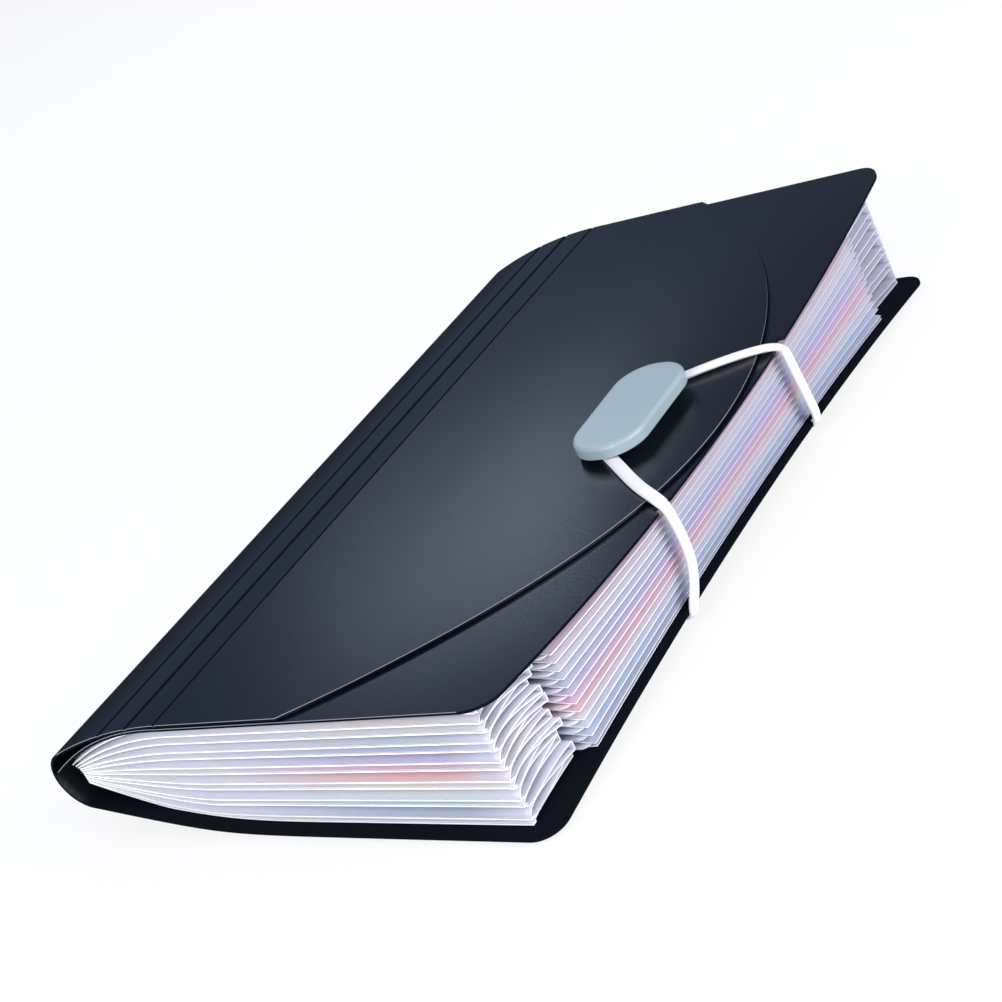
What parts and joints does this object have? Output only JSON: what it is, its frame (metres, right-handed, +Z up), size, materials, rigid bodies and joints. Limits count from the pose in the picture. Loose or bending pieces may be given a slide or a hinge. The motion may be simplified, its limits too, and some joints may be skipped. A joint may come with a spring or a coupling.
{
  "type": "accordion file folder",
  "caption": "Closed expanding file with a wrapped plastic cover, frosted film pockets with tinted cards, an arc-edged flap, a closing button and an elastic loop.",
  "frame": {"origin": "under the middle of the closed file, on the surface it lies on", "axes": "+X from the spine to the opening of the pockets, +Y along the spine, +Z up through the pockets"},
  "size_m": [0.1163, 0.18, 0.0287],
  "materials": {
    "cover_sheet": "fine sand-grained polypropylene sheet",
    "frosted_film": "frosted translucent polypropylene film",
    "button": "smooth satin moulding",
    "elastic": "covered flat elastic",
    "rivet": "plain steel",
    "card_lavender": "tinted card",
    "card_blue_grey": "tinted card",
    "card_light_blue": "tinted card",
    "card_mint": "tinted card",
    "card_cream": "tinted card",
    "card_salmon": "tinted card",
    "card_pink": "tinted card",
    "card_violet": "tinted card",
    "card_steel_blue": "tinted card",
    "card_sea_grey": "tinted card",
    "card_lime": "tinted card",
    "card_tan": "tinted card",
    "card_red": "tinted card"
  },
  "bodies": {
    "rear": {"rear_cover": "cover_sheet", "spine_nose": "cover_sheet", "rear_leaf": "frosted_film", "index_card_01": "card_lavender", "gusset_01": "frosted_film", "elastic_rivets": "rivet"},
    "spine": {"spine_top": "cover_sheet", "hinge_strip": "cover_sheet"},
    "flap": {"cover_flap": "cover_sheet", "button_post": "button", "button_cap": "button"},
    "leaf_01": {"divider_01": "frosted_film", "index_card_02": "card_blue_grey", "gusset_02": "frosted_film"},
    "leaf_02": {"divider_02": "frosted_film", "index_card_03": "card_light_blue", "gusset_03": "frosted_film"},
    "leaf_03": {"divider_03": "frosted_film", "index_card_04": "card_mint", "gusset_04": "frosted_film"},
    "leaf_04": {"divider_04": "frosted_film", "index_card_05": "card_cream", "gusset_05": "frosted_film"},
    "leaf_05": {"divider_05": "frosted_film", "index_card_06": "card_salmon", "gusset_06": "frosted_film"},
    "leaf_06": {"divider_06": "frosted_film", "index_card_07": "card_pink", "gusset_07": "frosted_film"},
    "leaf_07": {"divider_07": "frosted_film", "index_card_08": "card_violet", "gusset_08": "frosted_film"},
    "leaf_08": {"divider_08": "frosted_film", "index_card_09": "card_steel_blue", "gusset_09": "frosted_film"},
    "leaf_09": {"divider_09": "frosted_film", "index_card_10": "card_sea_grey", "gusset_10": "frosted_film"},
    "leaf_10": {"divider_10": "frosted_film", "index_card_11": "card_lime", "gusset_11": "frosted_film"},
    "leaf_11": {"divider_11": "frosted_film", "index_card_12": "card_tan", "gusset_12": "frosted_film"},
    "leaf_12": {"divider_12": "frosted_film", "index_card_13": "card_red", "gusset_13": "frosted_film"},
    "front": {"front_panel": "cover_sheet"},
    "strands": {"elastic_strands": "elastic"},
    "loop": {"elastic_loop": "elastic"}
  },
  "joints": [
    {"name": "cover_open", "type": "hinge", "parent": "rear", "child": "spine", "pos_m": [-0.0538, 0, 0.0118], "axis": [0, -1, 0], "range_deg": [0, 65], "deforming": ["spine_nose", "gusset_01", "gusset_02", "gusset_03", "gusset_04", "gusset_05", "gusset_06", "gusset_07", "gusset_08", "gusset_09", "gusset_10", "gusset_11", "gusset_12", "gusset_13", "elastic_strands", "elastic_loop"]},
    {"name": "flap_open", "type": "hinge", "parent": "spine", "child": "flap", "pos_m": [-0.0217, 0, 0.0263], "axis": [0, -1, 0], "range_deg": [0, 150]},
    {"name": "pocket_01_open", "type": "hinge", "parent": "rear", "child": "leaf_01", "pos_m": [-0.0538, 0, 0.0118], "axis": [0, -1, 0], "range_deg": [0, 5]},
    {"name": "pocket_02_open", "type": "hinge", "parent": "leaf_01", "child": "leaf_02", "pos_m": [-0.0538, 0, 0.0118], "axis": [0, -1, 0], "range_deg": [0, 5]},
    {"name": "pocket_03_open", "type": "hinge", "parent": "leaf_02", "child": "leaf_03", "pos_m": [-0.0538, 0, 0.0118], "axis": [0, -1, 0], "range_deg": [0, 5]},
    {"name": "pocket_04_open", "type": "hinge", "parent": "leaf_03", "child": "leaf_04", "pos_m": [-0.0538, 0, 0.0118], "axis": [0, -1, 0], "range_deg": [0, 5]},
    {"name": "pocket_05_open", "type": "hinge", "parent": "leaf_04", "child": "leaf_05", "pos_m": [-0.0538, 0, 0.0118], "axis": [0, -1, 0], "range_deg": [0, 5]},
    {"name": "pocket_06_open", "type": "hinge", "parent": "leaf_05", "child": "leaf_06", "pos_m": [-0.0538, 0, 0.0118], "axis": [0, -1, 0], "range_deg": [0, 5]},
    {"name": "pocket_07_open", "type": "hinge", "parent": "leaf_06", "child": "leaf_07", "pos_m": [-0.0538, 0, 0.0118], "axis": [0, -1, 0], "range_deg": [0, 5]},
    {"name": "pocket_08_open", "type": "hinge", "parent": "leaf_07", "child": "leaf_08", "pos_m": [-0.0538, 0, 0.0118], "axis": [0, -1, 0], "range_deg": [0, 5]},
    {"name": "pocket_09_open", "type": "hinge", "parent": "leaf_08", "child": "leaf_09", "pos_m": [-0.0538, 0, 0.0118], "axis": [0, -1, 0], "range_deg": [0, 5]},
    {"name": "pocket_10_open", "type": "hinge", "parent": "leaf_09", "child": "leaf_10", "pos_m": [-0.0538, 0, 0.0118], "axis": [0, -1, 0], "range_deg": [0, 5]},
    {"name": "pocket_11_open", "type": "hinge", "parent": "leaf_10", "child": "leaf_11", "pos_m": [-0.0538, 0, 0.0118], "axis": [0, -1, 0], "range_deg": [0, 5]},
    {"name": "pocket_12_open", "type": "hinge", "parent": "leaf_11", "child": "leaf_12", "pos_m": [-0.0538, 0, 0.0118], "axis": [0, -1, 0], "range_deg": [0, 5]},
    {"name": "pocket_13_open", "type": "hinge", "parent": "leaf_12", "child": "front", "pos_m": [-0.0538, 0, 0.0118], "axis": [0, -1, 0], "range_deg": [0, 5]},
    {"name": "elastic_release", "type": "hinge", "parent": "rear", "child": "strands", "pos_m": [0.0564, 0, 0.0035], "axis": [0, 1, 0], "range_deg": [0, 96]},
    {"name": "elastic_unfold", "type": "hinge", "parent": "strands", "child": "loop", "pos_m": [0.0546, 0, 0.0238], "axis": [0, 1, 0], "range_deg": [0, 80]}
  ],
  "couplings": [
    {"joint": "pocket_01_open", "follows": "cover_open", "ratio": 0.076923},
    {"joint": "pocket_02_open", "follows": "cover_open", "ratio": 0.076923},
    {"joint": "pocket_03_open", "follows": "cover_open", "ratio": 0.076923},
    {"joint": "pocket_04_open", "follows": "cover_open", "ratio": 0.076923},
    {"joint": "pocket_05_open", "follows": "cover_open", "ratio": 0.076923},
    {"joint": "pocket_06_open", "follows": "cover_open", "ratio": 0.076923},
    {"joint": "pocket_07_open", "follows": "cover_open", "ratio": 0.076923},
    {"joint": "pocket_08_open", "follows": "cover_open", "ratio": 0.076923},
    {"joint": "pocket_09_open", "follows": "cover_open", "ratio": 0.076923},
    {"joint": "pocket_10_open", "follows": "cover_open", "ratio": 0.076923},
    {"joint": "pocket_11_open", "follows": "cover_open", "ratio": 0.076923},
    {"joint": "pocket_12_open", "follows": "cover_open", "ratio": 0.076923},
    {"joint": "pocket_13_open", "follows": "cover_open", "ratio": 0.076923},
    {"joint": "elastic_release", "follows": "cover_open", "ratio": 1.4769},
    {"joint": "elastic_unfold", "follows": "cover_open", "ratio": 1.2308}
  ]
}
